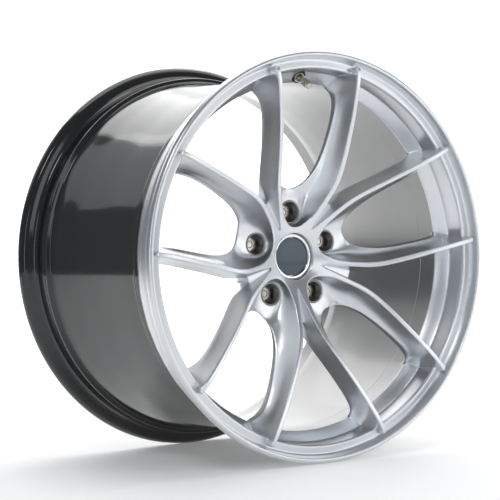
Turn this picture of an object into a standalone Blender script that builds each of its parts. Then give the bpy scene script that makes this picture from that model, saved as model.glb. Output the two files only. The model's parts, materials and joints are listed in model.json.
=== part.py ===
"""Forged racing wheel rim, 19 x 11.5J, five lugs on 114.3 mm, ten spokes set in pairs.

Every length is in millimetres and is scaled to metres when a mesh is made.
The wheel's axis is world Y: the outboard face looks towards -Y and lug 1 is at +Z.
Each shape is drawn in the axle frame (x right, y up, z outboard, seen from the front)
and the objects are turned 90 degrees about X, so that z becomes -Y.
A "depth" is measured inboard from the front flange's crest plane.
"""
import bpy
import bmesh
from math import sin, cos, pi, radians, atan2, hypot, sqrt
from mathutils import Matrix, Vector

MM = 0.001
GAP = 0.3                    # clearance between pieces that touch

# wheel
BEAD_SEAT_R = 482.6 / 2      # 19 inch
FLANGE_HEIGHT = 17.5
CREST_R = BEAD_SEAT_R + FLANGE_HEIGHT
FLANGE_T = 13.3              # bead face to crest plane
BEAD_WIDTH = 292.1           # 11.5 inch
WIDTH = BEAD_WIDTH + 2 * FLANGE_T
HALF_W = WIDTH / 2
LUGS = 5
LUG_PCD_R = 57.15            # 114.3 / 2
PITCH = 2 * pi / LUGS
PAD_DEPTH = 109.4            # mounting pad, 50 mm outboard of the mid-plane
PAD_R = 72.4
BORE_R = 33.55               # centre bore, 67.1 mm
SEAM_DEPTH = 74.5            # joint between the centre and the barrel
SEAM_IN_R = 221.8
DRUM_R = 226.0               # outside of the drop centre
SPIGOT_R = 227.2
SPIGOT = 3.5                 # the centre's spigot enters the barrel this far
FACE_PROUD = 6.405           # the lands, and the rear flange, stand out past the crest planes

# centre cap
CAP_R = 29.75
CAP_DEPTH = 65.5             # front edge of the bezel
CAP_BORE_R = 30.2
CAP_SHELF = 86.0             # depth where the cap bore narrows to the snap bore
SNAP_R = 27.5
SNAP_END = 95.0
LEG_SLOT_WIDTH = 7.0
LEG_SLOTS = 3                # each slot crosses the carrier, so there are twice as many legs

# lug hardware
POCKET_R = 14.8
POCKET_MOUTH = 68.0
STUD_HOLE_R = 8.2
INSERT_R = POCKET_R - GAP
INSERT_TOP = 67.2
INSERT_END = 101.0
INSERT_BORE = 12.6
CONE_R = 7.9                 # small end of the conical seat
CONE_END = 99.5
CONE_SLOPE = 1.0 / sqrt(3)   # 60 degree cone, radius per depth
RING_R = 12.2
RING_BORE = 8.35
RING_TOP = 88.8
RING_END = CONE_END - 1.5
NUT_HEX_R = 18.0 / sqrt(3)   # corner radius of the hex, 18 mm across flats
NUT_TOP = 81.5
NUT_FOOT = 88.5
NUT_SKIRT_R = 7.9
NUT_SKIRT_END = 96.5
NUT_THREAD_R = 7.1

# valve, whose own heights run along its leaning axis from the rim's inner face
VALVE_R = 227.6              # point where the valve's axis meets the rim's inner face
VALVE_DEPTH = 39.6
VALVE_LEAN = radians(30)     # lean of the valve's axis from the wheel's axis
VALVE_HOLE_R = 4.8
SPOT_R = 9.4
SPOT_DEPTH = 2.4             # spot face below the rim's surface
INNER_SPOT_R = 9.0
INNER_SPOT = 9.0             # spot face on the tyre side
STEM_R = 3.7
STEM_TOP = 21.0
SEAL_THICK = 2.4
VALVE_HEX_R = 6.2

BEYOND = 2.6                 # cutters run past the face that they open

SEG_RIM = 60
SEG_HUB = 36
SEG_SMALL = 18

MATERIALS = {
    "silver": ((0.66, 0.68, 0.71), 0.28, 0.75),
    "gloss_black": ((0.012, 0.013, 0.015), 0.12, 0.0),
    "chrome": ((0.80, 0.80, 0.80), 0.06, 1.0),
    "cap_blue": ((0.055, 0.085, 0.12), 0.35, 0.1),
    "insert_grey": ((0.16, 0.165, 0.165), 0.38, 0.9),
    "titanium": ((0.52, 0.48, 0.43), 0.30, 1.0),
    "black_plastic": ((0.02, 0.02, 0.02), 0.55, 0.0),
    "spring_steel": ((0.45, 0.45, 0.46), 0.30, 1.0),
    "rubber": ((0.015, 0.015, 0.015), 0.75, 0.0),
    "nickel": ((0.62, 0.60, 0.56), 0.20, 1.0),
    "brass": ((0.60, 0.45, 0.18), 0.30, 1.0),
}


def clear_scene():
    for obj in list(bpy.data.objects):
        bpy.data.objects.remove(obj, do_unlink=True)


def collection(name):
    col = bpy.data.collections.new(name)
    bpy.context.scene.collection.children.link(col)
    return col


def material(name):
    mat = bpy.data.materials.get(name)
    if mat:
        return mat
    colour, rough, metal = MATERIALS[name]
    mat = bpy.data.materials.new(name)
    mat.use_nodes = True
    shader = mat.node_tree.nodes["Principled BSDF"]
    shader.inputs["Base Color"].default_value = (*colour, 1.0)
    shader.inputs["Roughness"].default_value = rough
    shader.inputs["Metallic"].default_value = metal
    mat.diffuse_color = (*colour, 1.0)
    return mat


clear_scene()
PARTS = collection("racing_wheel_rim")
CUTTERS = collection("cutters")
AXLE = bpy.data.objects.new("axle_frame", None)
AXLE.rotation_euler = (pi / 2, 0, 0)
PARTS.objects.link(AXLE)


def height(depth):
    """Axle-frame z of a depth behind the front crest plane."""
    return HALF_W - depth


def add_object(name, mesh, mat=None, matrix=None, parent=AXLE, cutter=False):
    obj = bpy.data.objects.new(name, mesh)
    (CUTTERS if cutter else PARTS).objects.link(obj)
    if mat:
        mesh.materials.append(material(mat))
    obj.parent = parent
    if matrix is not None:
        obj.matrix_local = matrix
    if cutter:
        obj.hide_render = True
        obj.display_type = "WIRE"
    return obj


def smooth(obj, angle=35):
    obj.data.shade_smooth()
    obj.data.set_sharp_from_angle(angle=radians(angle))


def at(x, y, z):
    return Matrix.Translation((x * MM, y * MM, z * MM))


def lug_matrix(index, depth=0.0, radius=LUG_PCD_R):
    """Frame on a lug's axis with z outboard, its origin at a depth."""
    turn = Matrix.Rotation(index * PITCH, 4, "Z")
    return turn @ at(0, radius, height(depth))


def valve_matrix():
    """Frame on the valve's axis, z along the stem towards its tip."""
    lean = Matrix.Rotation(VALVE_LEAN, 4, "X")
    return at(0, VALVE_R, height(VALVE_DEPTH)) @ lean


def turned(name, profile, segments, mat=None, matrix=None, cutter=False, parent=AXLE):
    """Solid of revolution about z from a closed (radius, z) outline.

    The outline runs down the outer side from top to bottom and back up inside.
    Points at radius 0 close the solid on its axis.
    """
    bm = bmesh.new()
    verts = [bm.verts.new((r * MM, 0, z * MM)) for r, z in profile]
    closed = profile[0][0] > 0 or profile[-1][0] > 0
    pairs = list(zip(verts, verts[1:]))
    if closed:
        pairs.append((verts[-1], verts[0]))
    for a, b in pairs:
        bm.edges.new((a, b))
    mesh = bpy.data.meshes.new(name)
    bm.to_mesh(mesh)
    bm.free()
    obj = add_object(name, mesh, mat, matrix, parent, cutter)
    screw = obj.modifiers.new("turn", "SCREW")
    screw.axis = "Z"
    screw.angle = 2 * pi
    screw.steps = segments
    screw.render_steps = segments
    screw.use_merge_vertices = True
    screw.merge_threshold = 0.00001
    screw.use_smooth_shade = True
    return obj


def apply_modifiers(obj):
    graph = bpy.context.evaluated_depsgraph_get()
    mesh = bpy.data.meshes.new_from_object(obj.evaluated_get(graph))
    obj.modifiers.clear()
    old = obj.data
    obj.data = mesh
    if not mesh.materials and old.materials:
        mesh.materials.append(old.materials[0])


def boolean(obj, other, operation="DIFFERENCE", solver="EXACT"):
    mod = obj.modifiers.new(other.name, "BOOLEAN")
    mod.operation = operation
    mod.object = other
    mod.solver = solver
    return mod


def curve_at(knots, t):
    """Smooth monotone interpolation through (t, value) knots."""
    if t <= knots[0][0]:
        return knots[0][1]
    if t >= knots[-1][0]:
        return knots[-1][1]
    pairs = list(zip(knots, knots[1:]))
    slopes = [(b[1] - a[1]) / (b[0] - a[0]) for a, b in pairs]
    tangents = [slopes[0]]
    for a, b in zip(slopes, slopes[1:]):
        tangents.append(0.0 if a * b <= 0 else 2 * a * b / (a + b))
    tangents.append(slopes[-1])
    for i, ((t0, v0), (t1, v1)) in enumerate(pairs):
        if t <= t1:
            w = t1 - t0
            u = (t - t0) / w
            start = 2 * u ** 3 - 3 * u ** 2 + 1
            bend = (u ** 3 - 2 * u ** 2 + u) * tangents[i] + (u ** 3 - u ** 2) * tangents[i + 1]
            return start * v0 + (1 - start) * v1 + bend * w


# ---------------------------------------------------------------- spoked star

# depth of the lands (the narrow tops of the spokes) against radius
LAND_DEPTH = [(24, 63.5), (46, 52.6), (78, 36.8), (104, 23.8), (130, 14.0), (155, 6.5),
              (181, 0.4), (207, -4.2), (233, -6.6), (254, -3.4)]
# angle of a land's centre line from its lug's axis against radius
LAND_ANGLE = [(46, 27.4), (78, 27.4), (91, 27.0), (104, 26.0), (130, 22.6), (155, 19.9),
              (181, 17.9), (207, 16.4), (233, 15.3), (254, 14.7)]
LAND_HALF = 2.75
# depth of the lathe-turned back of the spokes against radius
BACK_DEPTH = [(84, 75.0), (92, 66.0), (104, 58.5), (130, 48.0), (155, 39.5), (181, 32.5),
              (196, 30.5), (208, 34.0), (215, 40.5), (221, 52.0), (229, 54.0)]
# stations from the hub out: radius of the land, then the foot of the flank towards
# the lug's axis and towards the groove, each as lateral, along, depth in the lug's frame
BOWL_TURN = (0, 30, 58)       # degrees round the lug at the bowl's inner end
BOWL_FOOT_R = 15.3
BOWL_RIM_R = 20.6
FLOOR_DEPTH = POCKET_MOUTH
FLOOR_STATIONS = (47.0, 52.0, 58.0, 66.5, 75.0, 81.0)
LAND_STATIONS = (58, 68, 78, 88, 98, 110, 124, 140, 158, 178, 197, 214, 227, 239, 254)
INNER_FEET = [(15.3, 57.7, 68.0), (16.6, 66.5, 68.0), (17.8, 75.5, 67.6), (18.4, 84.0, 66.0),
              (19.5, 93.5, 60.5), (26.5, 105.5, 51.8), (32.3, 119.0, 45.5), (36.7, 137.5, 38.3),
              (39.6, 155.0, 32.3), (42.2, 172.5, 26.7), (44.3, 189.0, 23.4), (45.7, 202.0, 24.5),
              (46.4, 209.5, 31.0), (47.2, 216.0, 44.0)]
# groove between neighbouring spokes, as along, half width, depth on the groove's axis
GROOVE_TIP_R = 39.0
GROOVE = [(52, 2.0, 54.5), (68, 3.5, 52.5), (84, 5.0, 50.5)]
OUTER_FEET = [(53.6, 88.4, 54.0), (56.8, 104.5, 49.0), (58.3, 122.0, 43.0), (60.3, 141.5, 36.0),
              (62.8, 160.5, 29.4), (64.4, 177.0, 25.6), (65.6, 194.0, 26.0), (66.2, 203.5, 32.0),
              (66.9, 210.5, 44.0)]
# last station, inside the rim section, as angle, radius, depth of each edge
ROOT = dict(foot=(12.4, 229.0, 46.5), low=(13.1, 238.4, 30.0), high=(13.9, 242.0, 12.5),
            flank=(16.6, 241.0, 16.0), outer=(17.6, 229.0, 46.5))
CROTCH = [(0.0, 86.5, 68.0), (9.5, 88.3, 66.5)]
STAR_IN_R = 24.0
FLANK_IN = ((0.42, 0.20), (0.78, 0.60))   # concave flank: lateral share, height share
FLANK_OUT = (0.52, 0.42)
UNDERCUT = 1.6                # the side walls draw in behind the edge
UNDERCUT_OUT = 0.6
BACK_CROWN = 1.0              # the spokes' backs are crowned


def on_axis(angle, radius):
    """Lug-frame point at an angle from the lug's axis."""
    return (radius * sin(angle), radius * cos(angle))


def land_point(radius, offset):
    """Point of the land at a sideways offset from its centre line."""
    angle = radians(curve_at(LAND_ANGLE, radius)) + offset / radius
    x, z = on_axis(angle, radius)
    return (x, z, curve_at(LAND_DEPTH, radius))


def cone_point(angle, radius):
    x, z = on_axis(angle, radius)
    return (x, z, curve_at(LAND_DEPTH, radius))


def groove_point(along, half_width, depth):
    """Point beside the groove's axis, given in the lug's frame."""
    x = along * sin(PITCH / 2) - half_width * cos(PITCH / 2)
    z = along * cos(PITCH / 2) + half_width * sin(PITCH / 2)
    return (x, z, depth)


def between(a, b, side, rise):
    return (a[0] + (b[0] - a[0]) * side, a[1] + (b[1] - a[1]) * side, a[2] + (b[2] - a[2]) * rise)


def star_rows():
    """Rows of the front surface of half a sector, from the lug's axis outwards."""
    half = PITCH / 2
    rows = []
    for j, turn in enumerate(BOWL_TURN):
        a = radians(turn)
        foot = (BOWL_FOOT_R * sin(a), LUG_PCD_R - BOWL_FOOT_R * cos(a), FLOOR_DEPTH)
        rx, rz = BOWL_RIM_R * sin(a), LUG_PCD_R - BOWL_RIM_R * cos(a)
        rim = (rx, rz, curve_at(LAND_DEPTH, hypot(rx, rz)))
        ring = cone_point(half * j / 2, STAR_IN_R)
        rows.append(dict(foot=foot, land_in=rim, land_out=ring))
    root = {name: (*on_axis(radians(a), r), d) for name, (a, r, d) in ROOT.items()}
    for j, radius in enumerate(LAND_STATIONS):
        row = dict(land_in=land_point(radius, -LAND_HALF))
        row["foot"] = root["foot"] if j == len(INNER_FEET) else INNER_FEET[j]
        if j == 0:
            row["land_out"] = cone_point(half, 32.0)
        elif j == 1:
            row["land_out"] = cone_point(half, GROOVE_TIP_R)
        else:
            row["land_out"] = land_point(radius, LAND_HALF)
            if j < 5:
                row["outer"] = groove_point(*GROOVE[j - 2])
                row["middle"] = groove_point(GROOVE[j - 2][0], 0.0, GROOVE[j - 2][2])
            else:
                row["outer"] = root["outer"] if j == len(INNER_FEET) else OUTER_FEET[j - 5]
        rows.append(row)
    for row in rows:
        for name, (side, rise) in zip(("low", "high"), FLANK_IN):
            row[name] = between(row["foot"], row["land_in"], side, rise)
        if "outer" in row:
            row["flank"] = between(row["outer"], row["land_out"], *FLANK_OUT)
    rows[-1].update(root)
    return rows


class HalfSector:
    """Adds one half of a spoke sector to a bmesh."""

    def __init__(self, bm, turn, side):
        self.bm = bm
        self.turn = turn
        self.side = side
        self.cache = {}

    def vert(self, point):
        if point not in self.cache:
            x, z, depth = point
            x *= self.side
            c, s = cos(self.turn), sin(self.turn)
            place = (x * c - z * s, x * s + z * c, height(depth))
            self.cache[point] = self.bm.verts.new([v * MM for v in place])
        return self.cache[point]

    def face(self, *points):
        unique = []
        for point in points:
            if point not in unique:
                unique.append(point)
        if len(unique) < 3:
            return
        verts = [self.vert(p) for p in unique]
        if self.side < 0:
            verts.reverse()
        self.bm.faces.new(verts)

    def strip(self, first, second):
        for a, b, c, d in zip(first, second, second[1:], first[1:]):
            self.face(a, b, c, d)


def add_half_sector(bm, turn, side):
    half = PITCH / 2
    sector = HalfSector(bm, turn, side)
    rows = star_rows()
    names = ("foot", "low", "high", "land_in", "land_out")
    columns = [[row[name] for row in rows] for name in names]
    for first, second in zip(columns, columns[1:]):
        sector.strip(second, first)
    tip = 4
    open_rows = rows[tip + 1:]
    start = rows[tip]["land_out"]
    out_columns = [[start] + [row[name] for row in open_rows] for name in ("land_out", "flank", "outer")]
    for first, second in zip(out_columns, out_columns[1:]):
        sector.strip(second, first)
    grooved = [row for row in open_rows if "middle" in row]
    sector.strip([start] + [row["middle"] for row in grooved], [start] + [row["outer"] for row in grooved])

    # flat floor of the bowl round the lug, out to the window's edge
    crotch = len(BOWL_TURN) + 4          # first row whose foot is a window edge
    feet = columns[0]
    middles = [feet[0]] + [(0.0, z, FLOOR_DEPTH) for z in FLOOR_STATIONS]
    sector.strip(feet[:crotch], middles)
    sector.face(middles[-1], feet[crotch - 1], CROTCH[1], CROTCH[0])
    sector.face(feet[crotch - 1], feet[crotch], CROTCH[1])

    # back edges under the windows' edges
    def behind(point, inset_x=0.0):
        x, z, _ = point
        radius = hypot(x, z)
        return (x + inset_x, z, curve_at(BACK_DEPTH, radius))

    inner_edge = CROTCH + feet[crotch:]
    inner_back = [behind(p, 0.0 if p[0] == 0 else -UNDERCUT) for p in inner_edge]
    outer_edge = [row["outer"] for row in rows[crotch:]]
    outer_back = [behind(p, UNDERCUT_OUT) for p in outer_edge]
    axis_edge = rows[crotch]["middle"]
    axis_back = behind(axis_edge)
    sector.strip(inner_edge, inner_back)
    sector.strip(outer_back, outer_edge)
    sector.face(axis_edge, outer_edge[0], outer_back[0], axis_back)
    spoke_in = inner_back[2:]
    middle_back = []
    for a, b in zip(spoke_in, outer_back):
        x, z = (a[0] + b[0]) / 2, (a[1] + b[1]) / 2
        middle_back.append((x, z, curve_at(BACK_DEPTH, hypot(x, z)) + BACK_CROWN))
    sector.strip(spoke_in, middle_back)
    sector.strip(middle_back, outer_back)

    # end of the spoke, inside the rim section
    last = rows[-1]
    sector.face(last["foot"], inner_back[-1], middle_back[-1], outer_back[-1], last["outer"],
                last["flank"], last["land_out"], last["land_in"], last["high"], last["low"])

    # back of the hub: from the windows' ends in to the mounting pad and the bore
    chain = inner_back[:3] + [middle_back[0], outer_back[0], axis_back]
    pad = []
    for x, z, _ in chain:
        angle = atan2(x, z)
        pad.append((PAD_R * sin(angle), PAD_R * cos(angle), PAD_DEPTH))
    pad[-1] = (PAD_R * sin(half), PAD_R * cos(half), PAD_DEPTH)
    sector.strip(chain, pad)
    ring = [(STAR_IN_R * sin(half * j / 2), STAR_IN_R * cos(half * j / 2), PAD_DEPTH) for j in range(3)]
    sector.face(*(pad + ring[::-1]))
    front_ring = [rows[j]["land_out"] for j in range(3)]
    sector.strip(ring, front_ring)


def spoked_star():
    bm = bmesh.new()
    for k in range(LUGS):
        for side in (1, -1):
            add_half_sector(bm, k * PITCH, side)
    bmesh.ops.remove_doubles(bm, verts=bm.verts, dist=0.000002)
    bmesh.ops.recalc_face_normals(bm, faces=bm.faces)
    bmesh.ops.triangulate(bm, faces=bm.faces)
    mesh = bpy.data.meshes.new("spoked_centre")
    bm.to_mesh(mesh)
    bm.free()
    return add_object("spoked_centre", mesh, "silver")


# ---------------------------------------------------------------- rim sections

# tyre side of a flange as (radius, distance inboard of its crest plane)
FLANGE_TYRE_SIDE = [(CREST_R, 0.0), (258.3, 4.5), (255.6, 9.2), (251.5, 11.8), (246.2, FLANGE_T),
                    (243.0, 15.6), (BEAD_SEAT_R, 19.5), (240.0, 34.5), (241.7, 37.5), (241.7, 42.5)]


def rim_section():
    """Outboard flange, bead seat and stepped lip, which are one piece with the spokes."""
    outer = [(254.6, -5.2), (257.4, -3.4)] + FLANGE_TYRE_SIDE
    outer += [(240.3, 46.0), (240.3, 60.0), (231.7, SEAM_DEPTH), (SPIGOT_R, SEAM_DEPTH)]
    outer += [(SPIGOT_R, SEAM_DEPTH + SPIGOT), (SEAM_IN_R, SEAM_DEPTH + SPIGOT)]
    inner = [(SEAM_IN_R, 49.0), (220.9, 45.6), (234.5, 32.8), (236.2, 9.0), (237.7, 6.0),
             (247.4, 8.3), (248.8, 6.6), (252.3, -4.6)]
    profile = [(r, height(depth)) for r, depth in outer + inner]
    return turned("rim_section", profile, SEG_RIM, cutter=True)


def rim_barrel():
    seam = SEAM_DEPTH + GAP
    outer = [(SPIGOT_R + GAP, seam), (231.5, seam), (DRUM_R, 84.0), (DRUM_R, 150.0), (229.5, 215.0),
             (234.5, 267.0), (236.0, 274.5)]
    outer += [(r, WIDTH - e) for r, e in reversed(FLANGE_TYRE_SIDE)]
    outer += [(257.8, WIDTH + 3.9), (254.6, WIDTH + FACE_PROUD), (249.5, WIDTH + 5.6)]
    inner = [(241.0, 316.0), (236.2, 308.0), (235.0, 282.0), (230.4, 266.0),
             (224.8, 215.0), (SEAM_IN_R, 150.0), (SEAM_IN_R, seam + SPIGOT), (SPIGOT_R + GAP, seam + SPIGOT)]
    profile = [(r, height(depth)) for r, depth in outer + inner]
    obj = turned("rim_barrel", profile, SEG_RIM, "gloss_black")
    apply_modifiers(obj)
    smooth(obj)
    return obj


def hub_bore_cutter():
    chamfer, end = 1.5, PAD_DEPTH + BEYOND
    steps = [(0, 0), (CAP_BORE_R, 0), (CAP_BORE_R, CAP_SHELF), (SNAP_R, CAP_SHELF), (SNAP_R, SNAP_END),
             (BORE_R, SNAP_END), (BORE_R, PAD_DEPTH - chamfer), (BORE_R + chamfer, PAD_DEPTH),
             (BORE_R + chamfer, end), (0, end)]
    return turned("hub_bore", [(r, height(d)) for r, d in steps], SEG_HUB, cutter=True)


def lug_pocket_cutter(index):
    shoulder, end = INSERT_END + GAP, PAD_DEPTH + BEYOND
    steps = [(0, 0), (POCKET_R, 0), (POCKET_R, shoulder), (STUD_HOLE_R, shoulder), (STUD_HOLE_R, end), (0, end)]
    return turned("lug_pocket_%d" % (index + 1), [(r, -d) for r, d in steps], SEG_SMALL,
                  matrix=lug_matrix(index), cutter=True)


def valve_hole_cutter():
    above, below = 14.0, -42.0
    steps = [(0, above), (SPOT_R, above), (SPOT_R, -SPOT_DEPTH), (VALVE_HOLE_R, -SPOT_DEPTH),
             (VALVE_HOLE_R, -INNER_SPOT), (INNER_SPOT_R, -INNER_SPOT), (INNER_SPOT_R, below), (0, below)]
    return turned("valve_hole", steps, SEG_SMALL, matrix=valve_matrix(), cutter=True)


def spoked_centre():
    star = spoked_star()
    # the exact solver loses this union, whose two closed meshes the manifold solver joins
    boolean(star, rim_section(), "UNION", "MANIFOLD")
    cutters = [hub_bore_cutter(), valve_hole_cutter()] + [lug_pocket_cutter(k) for k in range(LUGS)]
    for cutter in cutters:
        boolean(star, cutter, solver="MANIFOLD")
    apply_modifiers(star)
    smooth(star, 40)
    return star


# ---------------------------------------------------------------- centre cap

def leg_slot(index, place):
    """Cutter that crosses the carrier's skirt and parts it into legs."""
    bm = bmesh.new()
    bmesh.ops.create_cube(bm, size=1.0)
    bmesh.ops.scale(bm, vec=Vector((70, LEG_SLOT_WIDTH, 10)) * MM, verts=bm.verts)
    mesh = bpy.data.meshes.new("leg_slot")
    bm.to_mesh(mesh)
    bm.free()
    turn = Matrix.Rotation((index + 0.5) * pi / LEG_SLOTS, 4, "Z")
    return add_object("leg_slot_%d" % (index + 1), mesh, matrix=place @ turn @ at(0, 0, -30), cutter=True)


def centre_cap():
    """Bezel, disc, carrier with snap legs and spring ring; each has its origin on the axis."""
    place = at(0, 0, height(CAP_DEPTH))
    shelf = CAP_DEPTH - CAP_SHELF + GAP
    foot = shelf - GAP
    bezel = [(28.4, 1.2), (CAP_R, 0.0), (CAP_R, shelf), (22.5, shelf), (22.5, -5.2), (24.6, -5.2),
             (24.6, -1.0), (25.6, 0.7)]
    disc = [(0, 0.0), (12.0, -0.25), (20.0, -0.75), (24.2, -1.3), (24.2, -4.9), (0, -4.9)]
    carrier = [(0, -5.5), (22.2, -5.5), (22.2, foot), (27.1, foot), (27.1, -30.0), (26.0, -31.5),
               (25.2, -31.5), (25.2, -23.5), (0, -23.5)]
    objects = [turned("cap_bezel", bezel, SEG_HUB, "chrome", place),
               turned("cap_disc", disc, SEG_HUB, "cap_blue", place),
               turned("cap_carrier", carrier, SEG_HUB, "black_plastic", place)]
    for k in range(LEG_SLOTS):
        boolean(objects[2], leg_slot(k, place))
    for obj in objects:
        apply_modifiers(obj)
        smooth(obj)
    torus("cap_spring", 24.25, 0.65, 32, 6, "spring_steel", place @ at(0, 0, -28))


def torus(name, major, minor, major_steps, minor_steps, mat, matrix):
    ring = [(major + minor * cos(2 * pi * i / minor_steps), -minor * sin(2 * pi * i / minor_steps))
            for i in range(minor_steps)]
    obj = turned(name, ring, major_steps, mat, matrix)
    apply_modifiers(obj)
    smooth(obj, 60)


# ---------------------------------------------------------------- lug hardware

def hexagonal(name, profile, corner_r, segments, mat, matrix):
    """Turned outline cut down to a hexagon, with its corners chamfered by the outline."""
    obj = turned(name, profile, segments, mat, matrix)
    bm = bmesh.new()
    bmesh.ops.create_cone(bm, cap_ends=True, segments=6, radius1=corner_r * MM, radius2=corner_r * MM,
                          depth=300 * MM)
    mesh = bpy.data.meshes.new(name + "_hexagon")
    bm.to_mesh(mesh)
    bm.free()
    cutter = add_object(name + "_hexagon", mesh, matrix=matrix, cutter=True)
    boolean(obj, cutter, "INTERSECT")
    apply_modifiers(obj)
    smooth(obj, 25)
    return obj


def copy_of(source, name, matrix):
    obj = bpy.data.objects.new(name, source.data)
    PARTS.objects.link(obj)
    obj.parent = AXLE
    obj.matrix_local = matrix
    return obj


def lug_hardware():
    """Sleeve, conical ring and nut of lug 1, and their copies on the other lugs."""
    insert = [(13.4, -INSERT_TOP), (INSERT_R, -INSERT_TOP), (INSERT_R, -INSERT_END), (CONE_R, -INSERT_END),
              (CONE_R, -CONE_END), (INSERT_BORE, -CONE_END + (INSERT_BORE - CONE_R) / CONE_SLOPE),
              (INSERT_BORE, -INSERT_TOP - 0.8)]
    ring = [(8.2, -RING_TOP), (RING_R, -RING_TOP), (RING_R, -RING_END + (RING_R - RING_BORE) / CONE_SLOPE),
            (RING_BORE, -RING_END), (8.2, -RING_END)]
    nut = [(0, -NUT_TOP - 1.2), (4.2, -NUT_TOP - 1.2), (4.6, -NUT_TOP), (9.0, -NUT_TOP),
           (10.6, -NUT_TOP - 1.1), (10.6, -NUT_FOOT), (NUT_SKIRT_R, -NUT_FOOT), (NUT_SKIRT_R, -NUT_SKIRT_END),
           (NUT_THREAD_R, -NUT_SKIRT_END), (NUT_THREAD_R, -NUT_TOP - 5.0), (0, -NUT_TOP - 3.5)]
    first = lug_matrix(0)
    shapes = {"lug_insert": turned("lug_insert_1", insert, SEG_SMALL, "insert_grey", first),
              "lug_washer": turned("lug_washer_1", ring, SEG_SMALL, "spring_steel", first),
              "lug_nut": hexagonal("lug_nut_1", nut, NUT_HEX_R, 18, "titanium", first)}
    for name in ("lug_insert", "lug_washer"):
        apply_modifiers(shapes[name])
        smooth(shapes[name])
    for k in range(1, LUGS):
        for name, source in shapes.items():
            copy_of(source, "%s_%d" % (name, k + 1), lug_matrix(k))


# ---------------------------------------------------------------- tyre valve

def tyre_valve():
    place = valve_matrix()
    seal_top = -INNER_SPOT - GAP
    head_top = seal_top - SEAL_THICK - GAP
    head_end = head_top - 2.9
    foot = -SPOT_DEPTH + GAP
    hole_r = STEM_R + GAP
    stem = [(2.4, STEM_TOP), (STEM_R, STEM_TOP), (STEM_R, head_top), (7.6, head_top), (7.6, head_end),
            (1.2, head_end), (1.2, 12.0), (2.4, 13.0)]
    seal_foot = seal_top - SEAL_THICK
    inner_seal = [(hole_r, seal_top), (8.0, seal_top), (8.0, seal_foot), (hole_r, seal_foot)]
    grommet = [(hole_r, 0.6), (8.0, 0.6), (8.9, -0.4), (8.9, foot), (hole_r, foot)]
    washer = [(hole_r, 2.1), (6.6, 2.1), (7.2, 0.9), (hole_r, 0.9)]
    nut = [(hole_r, 7.6), (5.6, 7.6), (6.3, 6.9), (6.3, 2.4), (hole_r, 2.4)]
    core = [(0.9, 20.0), (2.1, 20.0), (2.1, 13.4), (0.9, 13.4)]
    pin = [(0, 20.6), (0.6, 20.6), (0.6, 9.0), (0, 9.0)]
    seal = [(2.6, 22.4), (4.0, 22.4), (4.0, STEM_TOP + GAP), (2.6, STEM_TOP + GAP)]
    cap = [(0, 25.5), (3.6, 25.5), (4.9, 24.2), (4.9, 11.0), (4.3, 10.4), (4.1, 11.0), (4.3, 11.6),
           (4.3, 22.7), (0, 22.7)]
    sources = [("valve_stem", stem, "nickel", 16), ("valve_inner_seal", inner_seal, "rubber", 16),
               ("valve_grommet", grommet, "rubber", SEG_SMALL), ("valve_washer", washer, "nickel", 16),
               ("valve_core", core, "brass", 12), ("valve_pin", pin, "brass", 8),
               ("valve_cap_seal", seal, "rubber", 12), ("valve_cap", cap, "nickel", 16)]
    for name, profile, mat, segments in sources:
        obj = turned(name, profile, segments, mat, place)
        apply_modifiers(obj)
        smooth(obj)
    hexagonal("valve_nut", nut, VALVE_HEX_R, 18, "nickel", place)


spoked_centre()
rim_barrel()
centre_cap()
lug_hardware()
tyre_valve()
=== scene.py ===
"""The looks of a forged racing wheel rim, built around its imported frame.

Lengths are in millimetres and are scaled to metres when a mesh is made. The wheel's axis is
world Y, the outboard face looks towards -Y and lug 1 is at +Z. Shapes are drawn in the axle
frame (x right, y up, z outboard) and turned 90 degrees about X. A "depth" is measured inboard
from the front flange's crest plane.
"""
import json
from math import sin, cos, pi, radians, atan2, hypot, sqrt, tan

import bpy
import bmesh
from mathutils import Matrix, Vector

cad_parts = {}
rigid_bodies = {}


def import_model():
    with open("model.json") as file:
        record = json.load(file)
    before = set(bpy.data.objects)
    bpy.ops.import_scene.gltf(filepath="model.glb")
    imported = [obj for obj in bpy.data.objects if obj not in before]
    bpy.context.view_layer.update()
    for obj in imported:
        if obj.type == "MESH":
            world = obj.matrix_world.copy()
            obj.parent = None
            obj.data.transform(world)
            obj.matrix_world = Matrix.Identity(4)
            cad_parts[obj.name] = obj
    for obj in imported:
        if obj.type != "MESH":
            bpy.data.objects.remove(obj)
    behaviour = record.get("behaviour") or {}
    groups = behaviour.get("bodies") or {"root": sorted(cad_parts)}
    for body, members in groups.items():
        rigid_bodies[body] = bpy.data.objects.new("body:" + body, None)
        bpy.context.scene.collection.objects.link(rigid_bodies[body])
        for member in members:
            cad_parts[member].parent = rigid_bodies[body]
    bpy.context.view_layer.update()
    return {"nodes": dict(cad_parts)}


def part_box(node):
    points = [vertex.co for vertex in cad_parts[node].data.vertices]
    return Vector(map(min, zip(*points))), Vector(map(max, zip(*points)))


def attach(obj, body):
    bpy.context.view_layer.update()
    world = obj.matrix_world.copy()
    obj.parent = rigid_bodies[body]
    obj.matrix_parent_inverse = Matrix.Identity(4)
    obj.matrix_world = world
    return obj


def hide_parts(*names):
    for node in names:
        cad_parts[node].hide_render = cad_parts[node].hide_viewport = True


for default in list(bpy.data.objects):
    bpy.data.objects.remove(default, do_unlink=True)
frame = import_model()
NODES = frame["nodes"]

MM = 0.001
FACE_PROUD = 6.405           # the lands and the rear flange stand out past the crest planes
CENTRE_LOW, CENTRE_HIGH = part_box("spoked_centre")
CREST_R = CENTRE_HIGH.z / MM
HALF_W = -CENTRE_LOW.y / MM - FACE_PROUD
WIDTH = 2 * HALF_W
AXLE = Matrix.Rotation(pi / 2, 4, "X")

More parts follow.
